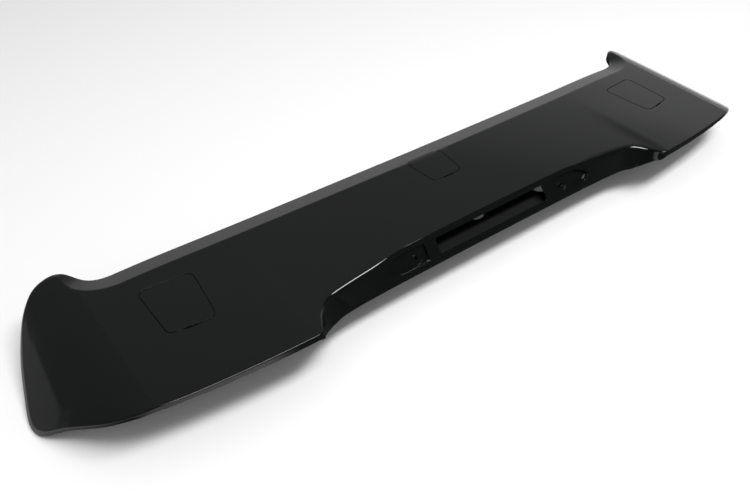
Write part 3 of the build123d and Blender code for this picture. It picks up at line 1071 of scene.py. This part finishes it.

# %% Zones of painted shade on the floor, seen only in reflections, each from two ranges in metres
PAINTED_SHADE_ZONES = {
    "under the part": [("Y", -0.215, -0.15), ("side", 0.72, 0.60)],
    "behind the notch": [("Y", -0.75, -0.55), ("side", 0.40, 0.33)],
    "behind and to the right": [("Y", -0.10, -0.15), ("X", -0.30, -0.20)],
}
floor_paint, tree = new_material("pale studio floor with painted shade")
spot = add_node(tree, "ShaderNodeNewGeometry")
spot_xyz = add_node(tree, "ShaderNodeSeparateXYZ", links={"Vector": spot.outputs["Position"]})
spot_side = add_node(tree, "ShaderNodeMath", {"operation": "ABSOLUTE"}, {}, {0: spot_xyz.outputs["X"]})
measures = {"X": spot_xyz.outputs["X"], "Y": spot_xyz.outputs["Y"], "side": spot_side.outputs["Value"]}
zones = []
for ranges in PAINTED_SHADE_ZONES.values():
    shares = {}
    for i, (measure, none, full) in enumerate(ranges):
        limits = {"From Min": none, "From Max": full}
        soft_edge = {"interpolation_type": "SMOOTHSTEP"}
        ramp = add_node(tree, "ShaderNodeMapRange", soft_edge, limits, {"Value": measures[measure]})
        shares[i] = ramp.outputs["Result"]
    zone = add_node(tree, "ShaderNodeMath", {"operation": "MULTIPLY"}, {}, shares)
    zones.append(zone.outputs["Value"])
dark = zones[0]
for zone in zones[1:]:
    either = add_node(tree, "ShaderNodeMath", {"operation": "MAXIMUM"}, {}, {0: dark, 1: zone})
    dark = either.outputs["Value"]
print("dark zones", len(zones))

# %% Floor paint
# Painted shade: glossy rays see the floor dark in the zones, and the camera and all other rays see it pale.
rays = add_node(tree, "ShaderNodeLightPath")
seen_in_gloss = {0: dark, 1: rays.outputs["Is Glossy Ray"]}
painted_shade_share = add_node(tree, "ShaderNodeMath", {"operation": "MULTIPLY"}, {}, seen_in_gloss)
floor_colour = add_node(
    tree,
    "ShaderNodeMixRGB",
    values={1: linear("#f6f6f6"), 2: linear("#3c3c3c")},
    links={0: painted_shade_share.outputs["Value"]},
)
matt = add_node(tree, "ShaderNodeBsdfDiffuse", links={"Color": floor_colour.outputs["Color"]})
add_node(tree, "ShaderNodeOutputMaterial", links={"Surface": matt.outputs["BSDF"]})
floor_mesh.materials.append(floor_paint)
print("floor paint has", len(tree.nodes), "nodes")

# %% [markdown]
# ## Surround
#
# The camera sees plain white behind the part. Reflections see a room that gets darker with height, and
# the dark starts lower towards the back and the left. Two more ranges dim the room behind the part and to
# its left. All other rays get an even half, so that matt surfaces render at a plain level.

# %% Surround
BORDER_TILT = (-0.2565, -0.247, 1.0)
TONES = [(0.08, 0.60), (0.125, 0.52), (0.155, 0.42), (0.20, 0.38), (0.24, 0.33), (0.285, 0.25)]
REARWARDS, SIDEWAYS = (0.0, -1.0, 0.0), (1.0, 0.0, 0.0)
FADES = [
    (REARWARDS, "SMOOTHSTEP", {"From Min": -0.1, "From Max": 0.2, "To Min": 1.0, "To Max": 0.15}),
    (SIDEWAYS, "LINEAR", {"From Min": -0.75, "From Max": 0.35, "To Min": 0.52, "To Max": 1.0}),
]
EVEN_LIGHT = 0.5
world = bpy.data.worlds.new("studio")
bpy.context.scene.world = world
world.use_nodes = True
tree = world.node_tree
tree.nodes.clear()
rays = add_node(tree, "ShaderNodeLightPath")
way = add_node(tree, "ShaderNodeTexCoord").outputs["Generated"]
along = {"operation": "DOT_PRODUCT"}
tilt = add_node(tree, "ShaderNodeVectorMath", along, {1: BORDER_TILT}, {0: way})
shares = {}
for i, (direction, kind, limits) in enumerate(FADES):
    part = add_node(tree, "ShaderNodeVectorMath", along, {1: direction}, {0: way}).outputs["Value"]
    fade = add_node(tree, "ShaderNodeMapRange", {"interpolation_type": kind}, limits, {"Value": part})
    shares[i] = fade.outputs["Result"]
strength = add_node(tree, "ShaderNodeMath", {"operation": "MULTIPLY"}, {}, shares)
by_height = add_node(tree, "ShaderNodeValToRGB", links={"Fac": tilt.outputs["Value"]})
by_height.color_ramp.interpolation = "LINEAR"
for height, _ in TONES[1:-1]:
    by_height.color_ramp.elements.new(height)
for stop, (height, level) in zip(by_height.color_ramp.elements, TONES):
    stop.position, stop.color = height, (level, level, level, 1)
print("tones of the room", len(TONES))

# %% What each kind of ray sees
white = {"Color": (1, 1, 1, 1), "Strength": 1.0}
room_links = {"Color": by_height.outputs["Color"], "Strength": strength.outputs["Value"]}
plain = add_node(tree, "ShaderNodeBackground", {}, white)
room = add_node(tree, "ShaderNodeBackground", {}, {}, room_links)
even = add_node(tree, "ShaderNodeBackground", {}, white | {"Strength": EVEN_LIGHT})
light = even.outputs["Background"]
for ray, sight in (("Is Glossy Ray", room), ("Is Camera Ray", plain)):
    mix_links = {0: rays.outputs[ray], 1: light, 2: sight.outputs["Background"]}
    light = add_node(tree, "ShaderNodeMixShader", {}, {}, mix_links).outputs["Shader"]
add_node(tree, "ShaderNodeOutputWorld", links={"Surface": light})
print("surround has", len(tree.nodes), "nodes")

# %% Lamp
LAMP_PLACE, LAMP_AIM = Vector((0.24, -1.0, 2.6)), Vector((0.14, 0, 0))
LAMP_SIZE, LAMP_WATTS = (2.28, 0.6), 65
lamp_data = bpy.data.lights.new("overhead", "AREA")
lamp_data.shape = "RECTANGLE"
lamp_data.size, lamp_data.size_y = LAMP_SIZE
lamp_data.energy = LAMP_WATTS
lamp = bpy.data.objects.new("overhead", lamp_data)
lamp.location = LAMP_PLACE
lamp.rotation_euler = (LAMP_AIM - LAMP_PLACE).to_track_quat("-Z", "Y").to_euler()
bpy.context.scene.collection.objects.link(lamp)
bpy.context.scene.view_settings.view_transform = "Standard"
print("lamp size in metres", LAMP_SIZE)

# %% [markdown]
# ## The boxes
#
# Both boxes are printed: the one of the solids and the one of the finished model. The
# finished model has to fill the same box as the solids.

# %% Print the boxes
seen_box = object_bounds()
for label, (low, high) in (("solids", cad_box), ("visual", seen_box)):
    print(label, [round((b - a) * 1000, 1) for a, b in zip(low, high)])
